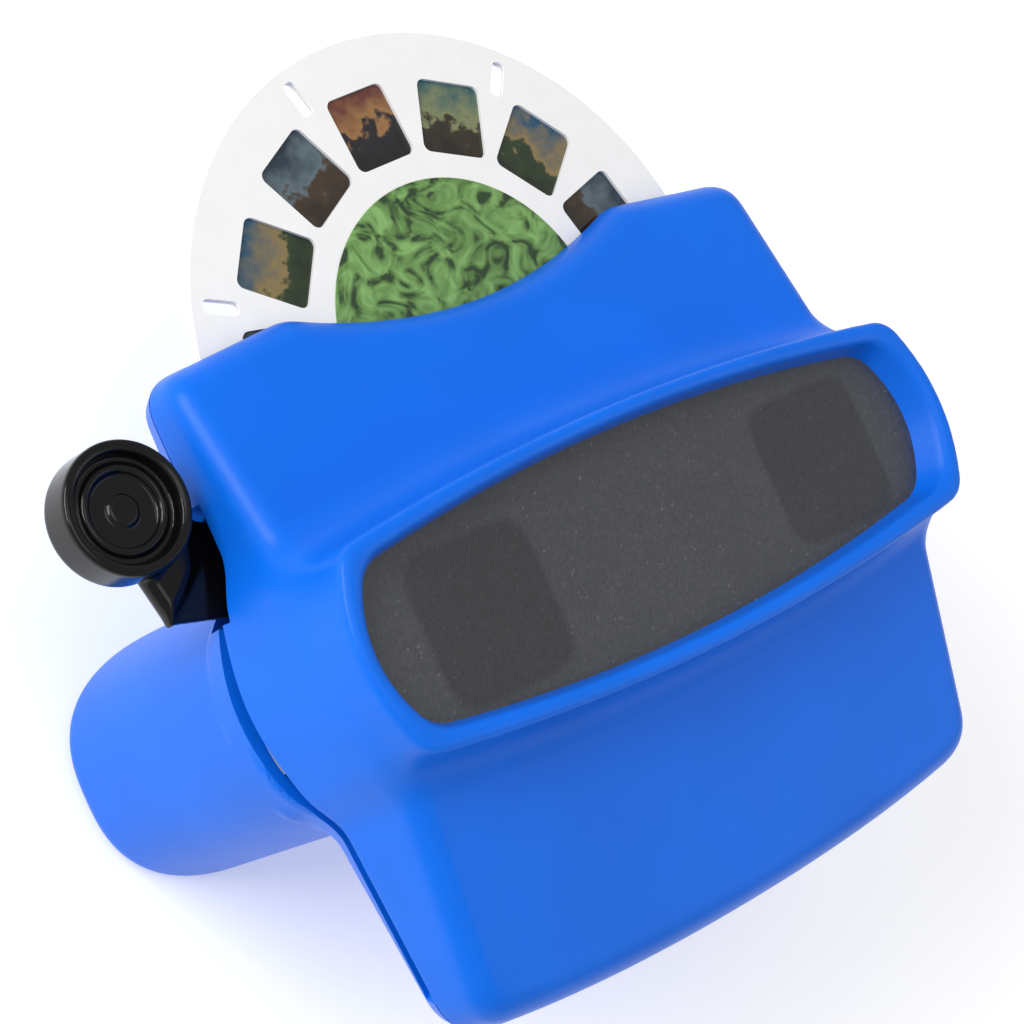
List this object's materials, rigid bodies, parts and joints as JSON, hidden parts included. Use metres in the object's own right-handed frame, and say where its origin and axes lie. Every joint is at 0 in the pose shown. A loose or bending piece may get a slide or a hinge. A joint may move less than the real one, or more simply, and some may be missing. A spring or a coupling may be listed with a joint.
{
  "type": "stereo viewer",
  "caption": "Hand-held stereo viewer with a frosted window, two eyepieces, a side lever and a round picture reel drawn partly out of its slot.",
  "frame": {"origin": "under the middle of the object's bounding box, in the plane of the two eyepiece rims that it rests on", "axes": "+Z from the eyepieces to the window, +Y from the foot to the reel slot, +X away from the lever"},
  "size_m": [0.1318, 0.1322, 0.077],
  "materials": {
    "blue_plastic": "satin gloss, moulded",
    "black_plastic": "gloss, moulded",
    "dark_plastic": "matt",
    "frosted_pane": "frosted, translucent",
    "lens": "clear, moulded",
    "steel": "bright zinc plate",
    "card": "smooth coated card",
    "label_paper": null,
    "film": "colour transparency"
  },
  "bodies": {
    "case": {"front_shell": "blue_plastic", "rear_shell": "blue_plastic", "diffuser_pane": "frosted_pane", "light_baffle": "dark_plastic", "front_gate_plate": "dark_plastic", "rear_gate_plate": "dark_plastic", "left_lens": "lens", "left_lens_ring": "dark_plastic", "right_lens": "lens", "right_lens_ring": "dark_plastic", "return_spring": "steel", "case_screw_1": "steel", "case_screw_2": "steel", "case_screw_3": "steel", "case_screw_4": "steel"},
    "lever": {"advance_lever": "black_plastic", "advance_claw": "steel"},
    "reel_carrier": {"reel_back_label": "label_paper"},
    "reel": {"reel_front_card": "card", "reel_back_card": "card", "reel_label": "label_paper", "film_01": "film", "film_02": "film", "film_03": "film", "film_04": "film", "film_05": "film", "film_06": "film", "film_07": "film", "film_08": "film", "film_09": "film", "film_10": "film", "film_11": "film", "film_12": "film", "film_13": "film", "film_14": "film"}
  },
  "joints": [
    {"name": "lever_press", "type": "hinge", "parent": "case", "child": "lever", "pos_m": [0.0079, -0.0143, 0.051], "axis": [0, 0, 1], "range_deg": [0, 51.4], "stiffness_Nm_per_rad": 0.08, "springref_deg": -11.46},
    {"name": "reel_slide", "type": "slide", "parent": "case", "child": "reel_carrier", "axis": [0, 1, 0], "range_m": [-0.0359, 0.06]},
    {"name": "reel_spin", "type": "hinge", "parent": "reel_carrier", "child": "reel", "pos_m": [0.0079, 0.0216, 0.053], "axis": [0, 0, 1], "continuous": true}
  ]
}
